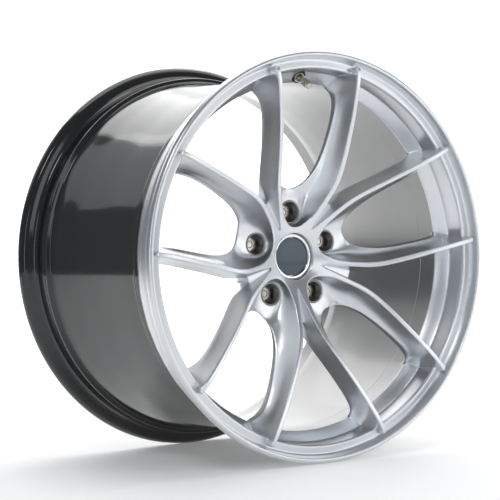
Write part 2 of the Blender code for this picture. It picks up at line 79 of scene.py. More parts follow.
LUGS = 5
PITCH = 2 * pi / LUGS
LUG_PCD_R = 57.15
POCKET_R = 14.8
POCKET_MOUTH = 68.0
PAD_DEPTH = 109.4
PAD_R = 72.4
BORE_R = 33.55
CAP_R = 29.75
CAP_DEPTH = 65.5
CAP_BORE_R = 30.2
CAP_SHELF = 86.0
SNAP_R = 27.5
SEAM_DEPTH = 74.5
SEAM_IN_R = 221.8
SPIGOT_R = 227.2
SPIGOT = 3.5
DRUM_R = 226.0
GAP = 0.3
VALVE_R = 227.6
VALVE_DEPTH = 39.6
VALVE_LEAN = radians(30)
INSERT_END = 101.0

SEG_RIM = 288
SEG_HUB = 120
SEG_SMALL = 72
STAR_LEVELS = 3


# ---------------------------------------------------------------- helpers

def height(depth):
    """Axle-frame z of a depth behind the front crest plane."""
    return HALF_W - depth


def at(x, y, z):
    return Matrix.Translation((x * MM, y * MM, z * MM))


def lug_matrix(index):
    """Frame on a lug's axis with z outboard, its origin in the crest plane."""
    return Matrix.Rotation(index * PITCH, 4, "Z") @ at(0, LUG_PCD_R, height(0))


def valve_matrix():
    return at(0, VALVE_R, height(VALVE_DEPTH)) @ Matrix.Rotation(VALVE_LEAN, 4, "X")


def new_object(name, bm, place=None):
    """Makes a mesh object in the row frame from a bmesh in the axle frame, in millimetres."""
    mesh = bpy.data.meshes.new(name)
    bmesh.ops.scale(bm, vec=(MM, MM, MM), verts=bm.verts)
    bm.to_mesh(mesh)
    bm.free()
    mesh.transform(AXLE @ place if place is not None else AXLE)
    obj = bpy.data.objects.new(name, mesh)
    bpy.context.scene.collection.objects.link(obj)
    return obj


def smooth(obj, angle=30):
    obj.data.shade_smooth()
    obj.data.set_sharp_from_angle(angle=radians(angle))


def apply_modifiers(obj):
    graph = bpy.context.evaluated_depsgraph_get()
    mesh = bpy.data.meshes.new_from_object(obj.evaluated_get(graph))
    obj.modifiers.clear()
    obj.data = mesh


def cut(obj, other, operation="DIFFERENCE"):
    mod = obj.modifiers.new(other.name, "BOOLEAN")
    mod.operation = operation
    mod.object = other
    mod.solver = "MANIFOLD"
    apply_modifiers(obj)
    bpy.data.objects.remove(other)


def rounded(outline, steps=4):
    """Closed outline with its corners replaced by arcs. A corner is (radius, z, fillet)."""
    points = []
    n = len(outline)
    for i, corner in enumerate(outline):
        here = Vector(corner[:2])
        fillet = corner[2] if len(corner) > 2 else 0.0
        before = Vector(outline[i - 1][:2]) - here
        after = Vector(outline[(i + 1) % n][:2]) - here
        if fillet <= 0 or before.length < 1e-6 or after.length < 1e-6:
            points.append(tuple(here))
            continue
        half = before.angle(after) / 2
        if half > radians(88.5) or half < radians(2):
            points.append(tuple(here))
            continue
        reach = min(fillet / tan(half), 0.46 * before.length, 0.46 * after.length)
        a = here + before.normalized() * reach
        b = here + after.normalized() * reach
        for j in range(steps + 1):
            t = j / steps
            w = 1.0 - 2 * t * (1 - t) + 2 * t * (1 - t) * sin(half)
            mid = here * (2 * t * (1 - t) * sin(half))
            points.append(tuple((a * (1 - t) ** 2 + mid + b * t ** 2) / w))
    return points


def turned(name, outline, segments, place=None, steps=4, ridges=None):
    """Solid of revolution about z from a closed (radius, z, fillet) outline.

    Between the two heights in ridges (low, high, cut), every second line of points is cut in.
    """
    points = rounded(outline, steps)
    angles = [2 * pi * k / segments for k in range(segments)]
    bm = bmesh.new()
    rings = []
    for r, z in points:
        if r < 1e-6:
            rings.append([bm.verts.new((0, 0, z))])
            continue
        cut_in = ridges[2] if ridges and ridges[0] < z < ridges[1] else 0.0
        radii = [r - cut_in * (k % 2) for k in range(segments)]
        rings.append([bm.verts.new((q * cos(a), q * sin(a), z)) for q, a in zip(radii, angles)])
    for first, second in zip(rings, rings[1:] + rings[:1]):
        for k in range(segments):
            m = (k + 1) % segments
            if len(first) == 1 and len(second) == 1:
                break
            if len(first) == 1:
                bm.faces.new((first[0], second[k], second[m]))
            elif len(second) == 1:
                bm.faces.new((first[k], second[0], first[m]))
            else:
                bm.faces.new((first[k], second[k], second[m], first[m]))
    bmesh.ops.recalc_face_normals(bm, faces=bm.faces)
    return new_object(name, bm, place)


def at_depths(outline):
    """Outline with its depths turned into axle-frame heights."""
    return [(corner[0], height(corner[1])) + tuple(corner[2:]) for corner in outline]


def curve_at(knots, t):
    """Smooth monotone interpolation through (t, value) knots."""
    if t <= knots[0][0]:
        return knots[0][1]
    if t >= knots[-1][0]:
        return knots[-1][1]
    pairs = list(zip(knots, knots[1:]))
    slopes = [(b[1] - a[1]) / (b[0] - a[0]) for a, b in pairs]
    tangents = [slopes[0]]
    for a, b in zip(slopes, slopes[1:]):
        tangents.append(0.0 if a * b <= 0 else 2 * a * b / (a + b))
    tangents.append(slopes[-1])
    for i, ((t0, v0), (t1, v1)) in enumerate(pairs):
        if t <= t1:
            w = t1 - t0
            u = (t - t0) / w
            rise = (2 * u ** 3 - 3 * u ** 2 + 1) * v0 + (3 * u ** 2 - 2 * u ** 3) * v1
            leaving = (u ** 3 - 2 * u ** 2 + u) * w * tangents[i]
            arriving = (u ** 3 - u ** 2) * w * tangents[i + 1]
            return rise + leaving + arriving


# ---------------------------------------------------------------- spoked star

# depth of the lands (the narrow tops of the spokes) against radius
LAND_DEPTH = [(24, 63.5), (46, 52.6), (78, 36.8), (104, 23.8), (130, 14.0), (155, 6.5),
              (181, 0.4), (207, -4.2), (233, -6.6), (254, -3.4)]
# angle of a land's centre line from its lug's axis against radius
LAND_ANGLE = [(46, 27.4), (78, 27.4), (91, 27.0), (104, 26.0), (130, 22.6), (155, 19.9),
              (181, 17.9), (207, 16.4), (233, 15.3), (254, 14.7)]
LAND_HALF = 2.75
# depth of the lathe-turned back of the spokes against radius
BACK_DEPTH = [(84, 75.0), (92, 66.0), (104, 58.5), (130, 48.0), (155, 39.5), (181, 32.5),
              (196, 30.5), (208, 34.0), (215, 40.5), (221, 52.0), (229, 54.0)]
BOWL_TURN = (0, 30, 58)       # degrees round the lug at the bowl's inner end
BOWL_FOOT_R = 15.3
BOWL_RIM_R = 20.6
FLOOR_DEPTH = POCKET_MOUTH
LAND_STATIONS = (58, 68, 78, 88, 98, 110, 124, 140, 158, 178, 197, 214, 227, 239, 254)
# foot of the flank towards the lug's axis, as lateral, along, depth in the lug's frame
INNER_FEET = [(15.3, 57.7, 68.0), (16.6, 66.5, 68.0), (17.8, 75.5, 67.6), (18.4, 84.0, 66.0),
              (19.5, 93.5, 60.5), (26.5, 105.5, 51.8), (32.3, 119.0, 45.5), (36.7, 137.5, 38.3),
              (39.6, 155.0, 32.3), (42.2, 172.5, 26.7), (44.3, 189.0, 23.4), (45.7, 202.0, 24.5),
              (46.4, 209.5, 31.0), (47.2, 216.0, 44.0)]
# groove between neighbouring spokes, as along, half width, depth on the groove's axis
GROOVE_TIP_R = 39.0
GROOVE = [(52, 2.0, 54.5), (68, 3.5, 52.5), (84, 5.0, 50.5)]
OUTER_FEET = [(53.6, 88.4, 54.0), (56.8, 104.5, 49.0), (58.3, 122.0, 43.0), (60.3, 141.5, 36.0),
              (62.8, 160.5, 29.4), (64.4, 177.0, 25.6), (65.6, 194.0, 26.0), (66.2, 203.5, 32.0),
              (66.9, 210.5, 44.0)]
# last station, inside the rim section, as angle, radius, depth of each edge
ROOT = dict(foot=(12.4, 229.0, 46.5), low=(13.1, 238.4, 30.0), high=(13.9, 242.0, 12.5),
            flank=(16.6, 241.0, 16.0), outer=(17.6, 229.0, 46.5))
CROTCH = [(0.0, 86.5, 68.0), (9.5, 88.3, 66.5)]
FLOOR_STATIONS = (47.0, 52.0, 58.0, 66.5, 75.0, 81.0)
STAR_IN_R = 24.0
FLANK_IN = ((0.42, 0.20), (0.78, 0.60))   # concave flank: lateral share, height share
FLANK_OUT = (0.52, 0.42)
UNDERCUT = 1.6                # the side walls draw in behind the edge
CREASE_LAND = 0.86
CREASE_WINDOW = 0.80
CREASE_BACK = 0.60
CREASE_GROOVE = 0.80


def on_axis(angle, radius):
    """Lug-frame point at an angle from the lug's axis."""
    return (radius * sin(angle), radius * cos(angle))


def land_point(radius, offset):
    """Point of the land at a sideways offset from its centre line."""
    angle = radians(curve_at(LAND_ANGLE, radius)) + offset / radius
    x, z = on_axis(angle, radius)
    return (x, z, curve_at(LAND_DEPTH, radius))


def cone_point(angle, radius):
    x, z = on_axis(angle, radius)
    return (x, z, curve_at(LAND_DEPTH, radius))


def groove_point(along, half_width, depth):
    """Point beside the groove's axis, given in the lug's frame."""
    x = along * sin(PITCH / 2) - half_width * cos(PITCH / 2)
    z = along * cos(PITCH / 2) + half_width * sin(PITCH / 2)
    return (x, z, depth)


def between(a, b, side, rise):
    return (a[0] + (b[0] - a[0]) * side, a[1] + (b[1] - a[1]) * side, a[2] + (b[2] - a[2]) * rise)


def star_rows():
    """Rows of the front surface of half a sector, from the lug's axis outwards."""
    half = PITCH / 2
    rows = []
    for j, turn in enumerate(BOWL_TURN):
        a = radians(turn)
        foot = (BOWL_FOOT_R * sin(a), LUG_PCD_R - BOWL_FOOT_R * cos(a), FLOOR_DEPTH)
        rx, rz = BOWL_RIM_R * sin(a), LUG_PCD_R - BOWL_RIM_R * cos(a)
        rim = (rx, rz, curve_at(LAND_DEPTH, hypot(rx, rz)))
        rows.append(dict(foot=foot, land_in=rim, land_out=cone_point(half * j / 2, STAR_IN_R)))
    root = {name: (*on_axis(radians(a), r), d) for name, (a, r, d) in ROOT.items()}
    last = len(INNER_FEET)
    for j, radius in enumerate(LAND_STATIONS):
        row = dict(land_in=land_point(radius, -LAND_HALF))
        row["foot"] = root["foot"] if j == last else INNER_FEET[j]
        if j == 0:
            row["land_out"] = cone_point(half, 32.0)
        elif j == 1:
            row["land_out"] = cone_point(half, GROOVE_TIP_R)
        else:
            row["land_out"] = land_point(radius, LAND_HALF)
            if j < 5:
                row["outer"] = groove_point(*GROOVE[j - 2])
                row["middle"] = groove_point(GROOVE[j - 2][0], 0.0, GROOVE[j - 2][2])
            else:
                row["outer"] = root["outer"] if j == last else OUTER_FEET[j - 5]
        rows.append(row)
    for row in rows:
        for name, (side, rise) in zip(("low", "high"), FLANK_IN):
            row[name] = between(row["foot"], row["land_in"], side, rise)
        if "outer" in row:
            row["flank"] = between(row["outer"], row["land_out"], *FLANK_OUT)
    rows[-1].update(root)
    return rows


class HalfSector:
    """Adds one half of a spoke sector to a bmesh, and notes its creased edges."""

    def __init__(self, bm, turn, side):
        self.bm = bm
        self.turn = turn
        self.side = side
        self.cache = {}
        self.creases = []

    def vert(self, point):
        if point not in self.cache:
            x, z, depth = point
            x *= self.side
            c, s = cos(self.turn), sin(self.turn)
            self.cache[point] = self.bm.verts.new((x * c - z * s, x * s + z * c, height(depth)))
        return self.cache[point]

    def face(self, *points):
        unique = []
        for point in points:
            if point not in unique:
                unique.append(point)
        if len(unique) < 3:
            return
        verts = [self.vert(p) for p in unique]
        if self.side < 0:
            verts.reverse()
        self.bm.faces.new(verts)

    def strip(self, first, second):
        for a, b, c, d in zip(first, second, second[1:], first[1:]):
            self.face(a, b, c, d)

    def crease(self, points, weight):
        for a, b in zip(points, points[1:]):
            if a != b:
                self.creases.append((self.vert(a).co.copy(), self.vert(b).co.copy(), weight))


def add_half_sector(bm, turn, side):
    half = PITCH / 2
    sector = HalfSector(bm, turn, side)
    rows = star_rows()
    names = ("foot", "low", "high", "land_in", "land_out")
    columns = [[row[name] for row in rows] for name in names]
    for first, second in zip(columns, columns[1:]):
        sector.strip(second, first)
    tip = 4
    open_rows = rows[tip + 1:]
    start = rows[tip]["land_out"]
    out_names = ("land_out", "flank", "outer")
    out_columns = [[start] + [row[name] for row in open_rows] for name in out_names]
    for first, second in zip(out_columns, out_columns[1:]):
        sector.strip(second, first)
    grooved = [row for row in open_rows if "middle" in row]
    groove_axis = [start] + [row["middle"] for row in grooved]
    groove_side = [start] + [row["outer"] for row in grooved]
    sector.strip(groove_axis, groove_side)

    # flat floor of the bowl round the lug, out to the window's edge
    crotch = len(BOWL_TURN) + 4          # first row whose foot is a window edge
    feet = columns[0]
    middles = [feet[0]] + [(0.0, z, FLOOR_DEPTH) for z in FLOOR_STATIONS]
    sector.strip(feet[:crotch], middles)
    sector.face(middles[-1], feet[crotch - 1], CROTCH[1], CROTCH[0])
    sector.face(feet[crotch - 1], feet[crotch], CROTCH[1])

    # back edges under the windows' edges
    def behind(point, inset_x=0.0):
        x, z, _ = point
        return (x + inset_x, z, curve_at(BACK_DEPTH, hypot(x, z)))

    inner_edge = CROTCH + feet[crotch:]
    inner_back = [behind(p, 0.0 if p[0] == 0 else -UNDERCUT) for p in inner_edge]
    outer_edge = [row["outer"] for row in rows[crotch:]]
    outer_back = [behind(p, 0.6) for p in outer_edge]
    axis_edge = rows[crotch]["middle"]
    axis_back = behind(axis_edge)
    sector.strip(inner_edge, inner_back)
    sector.strip(outer_back, outer_edge)
    sector.face(axis_edge, outer_edge[0], outer_back[0], axis_back)
    spoke_in = inner_back[2:]
    middle_back = []
    for a, b in zip(spoke_in, outer_back):
        x, z = (a[0] + b[0]) / 2, (a[1] + b[1]) / 2
        middle_back.append((x, z, curve_at(BACK_DEPTH, hypot(x, z)) + 1.0))
    sector.strip(spoke_in, middle_back)
    sector.strip(middle_back, outer_back)

    # end of the spoke, inside the rim section
    last = rows[-1]
    sector.face(last["foot"], inner_back[-1], middle_back[-1], outer_back[-1], last["outer"],
                last["flank"], last["land_out"], last["land_in"], last["high"], last["low"])

    # back of the hub: from the windows' ends in to the mounting pad and the bore
    chain = inner_back[:3] + [middle_back[0], outer_back[0], axis_back]
    pad = []
    for x, z, _ in chain[:-1]:
        angle = atan2(x, z)
        pad.append((PAD_R * sin(angle), PAD_R * cos(angle), PAD_DEPTH))
    pad.append((PAD_R * sin(half), PAD_R * cos(half), PAD_DEPTH))
    sector.strip(chain, pad)
    ring = [(STAR_IN_R * sin(half * j / 2), STAR_IN_R * cos(half * j / 2), PAD_DEPTH) for j in range(3)]
    sector.face(*(pad + ring[::-1]))
    front_ring = [rows[j]["land_out"] for j in range(3)]
    sector.strip(ring, front_ring)

    sector.crease(columns[3], CREASE_LAND)
    sector.crease(out_columns[0], CREASE_LAND)
    sector.crease(inner_edge, CREASE_WINDOW)
    sector.crease(outer_edge, CREASE_WINDOW)
    sector.crease([axis_edge, outer_edge[0]], CREASE_WINDOW)
    sector.crease(groove_side, CREASE_GROOVE)
    sector.crease(inner_back, CREASE_BACK)
    sector.crease(outer_back, CREASE_BACK)
    sector.crease([axis_back, outer_back[0]], CREASE_BACK)
    sector.crease(pad, 1.0)
    sector.crease(ring, 1.0)
    sector.crease(front_ring, 1.0)
    return sector.creases


def edge_key(a, b):
    """Names an edge by its two ends, rounded to 0.1 mm."""
    return frozenset(tuple(round(value, 1) for value in end) for end in (a, b))


def spoked_star():
    """The hub and ten spokes, from a creased cage, ending inside the rim section."""
    bm = bmesh.new()
    creases = []
    for k in range(LUGS):
        for side in (1, -1):
            creases += add_half_sector(bm, k * PITCH, side)
    bmesh.ops.remove_doubles(bm, verts=bm.verts, dist=0.002)
    bmesh.ops.recalc_face_normals(bm, faces=bm.faces)
    layer = bm.edges.layers.float.new("crease_edge")
    weights = {edge_key(a, b): weight for a, b, weight in creases}
    for edge in bm.edges:
        edge[layer] = weights.get(edge_key(*(vert.co for vert in edge.verts)), 0.0)
    obj = new_object("wheel_centre", bm)
    fine = obj.modifiers.new("fine", "SUBSURF")
    fine.levels = STAR_LEVELS
    fine.render_levels = STAR_LEVELS
    apply_modifiers(obj)
    return obj


# ---------------------------------------------------------------- rim sections

# tyre side of a flange as radius, distance inboard of its crest plane, fillet
FLANGE_TYRE_SIDE = [(258.8, 0.0, 2.0), (258.3, 4.5, 3.0), (255.6, 9.2, 4.0), (251.5, 11.8, 3.0),
                    (246.2, 13.3, 4.0), (243.0, 15.6, 4.0), (241.3, 19.5, 4.0), (240.0, 34.5, 3.0),
                    (241.7, 37.5, 2.0), (241.7, 42.5, 2.0)]
CENTRE_OUTER = [(254.6, -5.2, 2.0), (257.4, -3.4, 3.0)] + FLANGE_TYRE_SIDE + [
    (240.3, 46.0, 3.0), (240.3, 60.0, 4.0), (231.7, SEAM_DEPTH, 0.8), (SPIGOT_R, SEAM_DEPTH),
    (SPIGOT_R, SEAM_DEPTH + SPIGOT), (SEAM_IN_R, SEAM_DEPTH + SPIGOT)]
CENTRE_INNER = [(SEAM_IN_R, 49.0, 1.5), (220.9, 45.6, 1.2), (234.5, 32.8, 3.0), (236.2, 9.0, 1.5),
                (237.7, 6.0, 1.2), (247.4, 8.3, 3.0), (248.8, 6.6, 3.0), (252.3, -4.6, 1.5)]
# radius of the drum's outer and inner surface against depth
DRUM_OUTER = [(84.0, DRUM_R), (150.0, 226.5), (215.0, 229.5), (267.0, 234.5)]
DRUM_INNER = [(80.0, SEAM_IN_R), (150.0, 222.0), (215.0, 224.8), (266.0, 230.4)]
BARREL_OUTER = [
    (SPIGOT_R + GAP, SEAM_DEPTH + GAP), (231.5, SEAM_DEPTH + GAP, 0.8), (DRUM_R, 84.0, 12.0)] + [
    (curve_at(DRUM_OUTER, depth), depth) for depth in range(92, 266, 8)] + [
    (234.5, 267.0), (236.0, 274.5, 3.0)]
BARREL_REAR = [(257.8, WIDTH + 3.9, 1.5), (254.6, WIDTH + FACE_PROUD, 1.5),
               (249.5, WIDTH + 5.6, 1.5)]
BARREL_INNER = [(241.0, 316.0, 3.0), (236.2, 308.0, 2.0), (235.0, 282.0, 20.0), (230.4, 266.0)] + [
    (curve_at(DRUM_INNER, depth), depth) for depth in range(258, 84, -8)] + [
    (SEAM_IN_R, SEAM_DEPTH + GAP + SPIGOT), (SPIGOT_R + GAP, SEAM_DEPTH + GAP + SPIGOT)]


def lathe_density(outline, longest=9.0):
    """The same outline with extra points along its long straight stretches."""
    out = []
    n = len(outline)
    for i, corner in enumerate(outline):
        out.append(corner)
        nxt = outline[(i + 1) % n]
        length = hypot(nxt[0] - corner[0], nxt[1] - corner[1])
        extra = int(length / longest)
        for j in range(1, extra + 1):
            t = j / (extra + 1)
            step = ((nxt[0] - corner[0]) * t, (nxt[1] - corner[1]) * t)
            out.append((corner[0] + step[0], corner[1] + step[1]))
    return out


def rim_section():
    outline = rounded(at_depths(CENTRE_OUTER + CENTRE_INNER))
    return turned("rim_section", lathe_density(outline), SEG_RIM)


def rim_barrel():
    rear = [(r, WIDTH - e, f) for r, e, f in reversed(FLANGE_TYRE_SIDE)]
    outline = rounded(at_depths(BARREL_OUTER + rear + BARREL_REAR + BARREL_INNER))
    obj = turned("wheel_barrel", lathe_density(outline, 20.0), SEG_RIM)
    smooth(obj, 40)
    return obj


HUB_CLEAR = 112.0             # depth past the hub's back, where the cutters end
HUB_FRONT = -20.0             # depth in front of the hub, where the bore's cutter starts
POCKET_OPEN = 20.0
STUD_HOLE_R = 8.2
HUB_BORE_START = 95.0         # the hub's bore begins behind the snap ring's land
BORE_CHAMFER = 1.5


def hub_bore_cutter():
    wide = BORE_R + BORE_CHAMFER
    steps = [(0, HUB_FRONT), (CAP_BORE_R, HUB_FRONT), (CAP_BORE_R, CAP_SHELF), (SNAP_R, CAP_SHELF),
             (SNAP_R, HUB_BORE_START), (BORE_R, HUB_BORE_START), (BORE_R, PAD_DEPTH - BORE_CHAMFER),
             (wide, PAD_DEPTH), (wide, HUB_CLEAR), (0, HUB_CLEAR)]
    return turned("hub_bore", at_depths(steps), SEG_HUB)


def lug_pocket_cutter(index):
    steps = [(0, -POCKET_OPEN), (POCKET_R, -POCKET_OPEN), (POCKET_R, -INSERT_END - GAP),
             (STUD_HOLE_R, -INSERT_END - GAP), (STUD_HOLE_R, -HUB_CLEAR), (0, -HUB_CLEAR)]
    return turned("lug_pocket", steps, SEG_SMALL, lug_matrix(index))


SPOT_DEPTH = 2.4              # spot face for the valve below the rim's surface
SPOT_R = 9.4
VALVE_HOLE_R = 4.8
INNER_SPOT = 9.0              # spot face on the tyre side
INNER_SPOT_R = 9.0
VALVE_CUT = (14.0, -42.0)     # heights along the stem between which the valve's hole is cut


def valve_hole_cutter():
    top, bottom = VALVE_CUT
    steps = [(0, top), (SPOT_R, top), (SPOT_R, -SPOT_DEPTH), (VALVE_HOLE_R, -SPOT_DEPTH),
             (VALVE_HOLE_R, -INNER_SPOT), (INNER_SPOT_R, -INNER_SPOT), (INNER_SPOT_R, bottom),
             (0, bottom)]
    return turned("valve_hole", steps, SEG_SMALL, valve_matrix())


def wheel_centre():
    star = spoked_star()
    cut(star, rim_section(), "UNION")
    cut(star, hub_bore_cutter())
    cut(star, valve_hole_cutter())
    for k in range(LUGS):
        cut(star, lug_pocket_cutter(k))
    smooth(star, 50)
    return star


# ---------------------------------------------------------------- centre cap

def cap_bezel():
    shelf = CAP_DEPTH - CAP_SHELF + GAP
    outline = [(27.4, 1.2, 1.0), (CAP_R, 0.2, 1.6), (CAP_R, shelf, 0.3), (22.5, shelf), (22.5, -5.2),
               (24.6, -5.2), (24.6, -1.1, 0.4), (25.5, 0.9, 0.6)]
    return turned("bezel_ring", outline, SEG_HUB, at(0, 0, height(CAP_DEPTH)))


def cap_disc():
    outline = [(0, 0.0), (8.0, -0.1, 9.0), (16.0, -0.45, 12.0), (22.6, -0.95, 9.0), (24.2, -1.3, 0.5),
               (24.2, -4.9, 0.3), (0, -4.9)]
    return turned("cap_face", outline, SEG_HUB, at(0, 0, height(CAP_DEPTH)))


# ---------------------------------------------------------------- lug hardware

INSERT_R = POCKET_R - GAP
INSERT_TOP = 67.2
INSERT_BORE = 12.6
SEAT_R = 7.9                  # small end of the conical seat
SEAT_END = 99.5
SEAT_SLOPE = 1.0 / sqrt(3)    # 60 degree cone, radius per depth
NUT_TOP = 81.5
NUT_FOOT = 88.5
SKIRT_END = 96.5


def lug_insert(index):
    cone_top = -SEAT_END + (INSERT_BORE - SEAT_R) / SEAT_SLOPE
    outline = [(INSERT_BORE + 0.8, -INSERT_TOP, 0.5), (INSERT_R, -INSERT_TOP, 0.3),
               (INSERT_R, -INSERT_END), (SEAT_R, -INSERT_END), (SEAT_R, -SEAT_END),
               (INSERT_BORE, cone_top, 0.6), (INSERT_BORE, -INSERT_TOP - 0.8, 0.4)]
    return turned("lug_sleeve_%d" % index, outline, SEG_SMALL, lug_matrix(index - 1))


WASHER_TOP = NUT_FOOT + GAP
WASHER_END = 98.0
WASHER_R = 12.2
WASHER_HOLE_R = 8.2
WASHER_FOOT_R = 8.35          # small end of the washer's cone


def lug_washer(index):
    cone_top = -WASHER_END + (WASHER_R - WASHER_FOOT_R) / SEAT_SLOPE
    outline = [(WASHER_HOLE_R, -WASHER_TOP), (WASHER_R, -WASHER_TOP, 0.5), (WASHER_R, cone_top, 0.4),
               (WASHER_FOOT_R, -WASHER_END), (WASHER_HOLE_R, -WASHER_END)]
    return turned("lug_ring_%d" % index, outline, SEG_SMALL, lug_matrix(index - 1))


HEXAGON_LENGTH = 600.0        # reaches past both ends of any nut


def hexagonal(obj, corner_r, place):
    """Cuts a turned solid down to a hexagon, so that its conical ends chamfer the corners."""
    bm = bmesh.new()
    bmesh.ops.create_cone(bm, cap_ends=True, segments=6, radius1=corner_r, radius2=corner_r,
                          depth=HEXAGON_LENGTH)
    cut(obj, new_object("hexagon", bm, place), "INTERSECT")


NUT_BLANK_R = 10.6            # turned blank, a little over the hexagon's corners
NUT_CORNER_R = 10.4
NUT_SKIRT_R = 7.9
NUT_BORE_R = 7.1


def lug_nut(index):
    place = lug_matrix(index - 1)
    dimple = -NUT_TOP - 1.4
    outline = [(0, dimple), (3.9, dimple, 0.3), (4.7, -NUT_TOP, 0.5), (8.6, -NUT_TOP, 0.8),
               (NUT_BLANK_R, -NUT_TOP - 1.3, 0.6), (NUT_BLANK_R, -NUT_FOOT), (NUT_SKIRT_R, -NUT_FOOT),
               (NUT_SKIRT_R, -SKIRT_END, 0.5), (NUT_BORE_R, -SKIRT_END), (NUT_BORE_R, -NUT_TOP - 5.0),
               (0, -NUT_TOP - 3.5)]
    obj = turned("nut_%d" % index, outline, SEG_SMALL, place)
    hexagonal(obj, NUT_CORNER_R, place)
    smooth(obj, 20)
    return obj


# ---------------------------------------------------------------- tyre valve

SEAL_THICK = 2.4              # rubber ring under the valve's head
HEAD_TOP = -INNER_SPOT - GAP - SEAL_THICK - GAP
HEAD_THICK = 2.9
STEM_FREE_R = 4.0             # bore of the pieces that sit round the stem
GROMMET_FOOT = -SPOT_DEPTH + GAP
KNURL = (12.7, 21.8, 0.35)    # ridges on the valve cap: from, to, depth
# outlines along the stem as radius, height above the rim's surface, fillet
VALVE_OUTLINES = {
    "stem": [(2.4, 21.0), (3.7, 21.0, 0.4), (3.7, HEAD_TOP), (7.6, HEAD_TOP, 0.4),
             (7.6, HEAD_TOP - HEAD_THICK, 0.8), (1.2, HEAD_TOP - HEAD_THICK), (1.2, 12.0), (2.4, 13.0)],
    "grommet": [(STEM_FREE_R, 0.6), (7.9, 0.6, 0.8), (8.9, -0.4, 0.6), (8.9, GROMMET_FOOT),
                (STEM_FREE_R, GROMMET_FOOT)],
    "washer": [(STEM_FREE_R, 2.1), (6.5, 2.1, 0.3), (7.2, 0.9, 0.2), (STEM_FREE_R, 0.9)],
    "nut": [(STEM_FREE_R, 7.6), (5.5, 7.6, 0.3), (6.4, 6.9, 0.3), (6.4, 2.9, 0.2), (5.9, 2.4),
            (STEM_FREE_R, 2.4)],
    "cap": [(0, 25.5), (3.4, 25.5, 0.6), (4.5, 24.4, 0.5), (4.5, 22.4, 0.2), (4.9, 22.0, 0.2),
            (4.9, 21.6), (4.9, 12.9), (4.9, 12.4, 0.2), (4.6, 12.0, 0.1), (4.6, 11.0, 0.3),
            (4.3, 10.4), (4.1, 11.0), (4.3, 11.6), (4.3, 22.7), (0, 22.7)],
}
VALVE_NUT_CORNER_R = 6.2


def valve_parts():
    place = valve_matrix()
    pieces = {}
    for name, outline in VALVE_OUTLINES.items():
        ridges = KNURL if name == "cap" else None
        pieces[name] = turned("tyre_valve_" + name, outline, SEG_SMALL, place, ridges=ridges)
        smooth(pieces[name])
    hexagonal(pieces["nut"], VALVE_NUT_CORNER_R, place)
    smooth(pieces["nut"], 20)
    return pieces


# ---------------------------------------------------------------- materials

def new_material(name, colour, roughness, metallic, coat=0.0, coat_roughness=0.05):
    mat = bpy.data.materials.new(name)
    mat.use_nodes = True
    shader = mat.node_tree.nodes["Principled BSDF"]
    shader.inputs["Base Color"].default_value = (*colour, 1.0)
    shader.inputs["Roughness"].default_value = roughness
    shader.inputs["Metallic"].default_value = metallic
    shader.inputs["Coat Weight"].default_value = coat
    shader.inputs["Coat Roughness"].default_value = coat_roughness
    return mat


class Nodes:
    """Short calls for a material's node tree."""

    def __init__(self, mat):
        self.mat = mat
        self.tree = mat.node_tree
        self.shader = self.tree.nodes["Principled BSDF"]

    def link(self, source, target):
        self.tree.links.new(source, target)

    def put(self, value, socket):
        if isinstance(value, bpy.types.NodeSocket):
            self.link(value, socket)
        else:
            socket.default_value = value

    def coords(self):
        return self.tree.nodes.new("ShaderNodeTexCoord").outputs["Object"]

    def math(self, operation, a, b=0.0, clamp=False):
        node = self.tree.nodes.new("ShaderNodeMath")
        node.operation = operation
        node.use_clamp = clamp
        self.put(a, node.inputs[0])
        self.put(b, node.inputs[1])
        return node.outputs[0]

    def noise(self, scale, detail=2.0, roughness=0.5):
        node = self.tree.nodes.new("ShaderNodeTexNoise")
        node.inputs["Scale"].default_value = scale
        node.inputs["Detail"].default_value = detail
        node.inputs["Roughness"].default_value = roughness
        self.link(self.coords(), node.inputs["Vector"])
        return node.outputs["Fac"]

    def spread(self, value, low, high, new_low, new_high):
        node = self.tree.nodes.new("ShaderNodeMapRange")
        self.put(value, node.inputs["Value"])
        limits = {"From Min": low, "From Max": high, "To Min": new_low, "To Max": new_high}
        for name, number in limits.items():
            self.put(number, node.inputs[name])
        return node.outputs["Result"]

    def mix(self, factor, a, b):
        node = self.tree.nodes.new("ShaderNodeMix")
        node.data_type = "RGBA"
        self.put(factor, node.inputs["Factor"])
        for value, socket in ((a, node.inputs[6]), (b, node.inputs[7])):
            self.put(value if isinstance(value, bpy.types.NodeSocket) else (*value, 1.0), socket)
        return node.outputs[2]

    def bump(self, value, distance, strength=1.0, corner=0.0):
        """Bump from a height; a corner radius also softens the corners that the paint fills."""
        node = self.tree.nodes.new("ShaderNodeBump")
        if corner > 0:
            soft = self.tree.nodes.new("ShaderNodeBevel")
            soft.samples = 8
            soft.inputs["Radius"].default_value = corner
            self.link(soft.outputs["Normal"], node.inputs["Normal"])
        node.inputs["Strength"].default_value = strength
        node.inputs["Distance"].default_value = distance
        self.link(value, node.inputs["Height"])
        self.link(node.outputs["Normal"], self.shader.inputs["Normal"])

    def polar(self):
        """Radius from the wheel's axis and depth behind the crest plane, in millimetres."""
        split = self.tree.nodes.new("ShaderNodeSeparateXYZ")
        self.link(self.coords(), split.inputs[0])
        x, y, z = split.outputs
        square = self.math("ADD", self.math("MULTIPLY", x, x), self.math("MULTIPLY", z, z))
        radius = self.math("DIVIDE", self.math("SQRT", square), MM)
        depth = self.math("ADD", self.math("DIVIDE", y, MM), HALF_W)
        return radius, depth


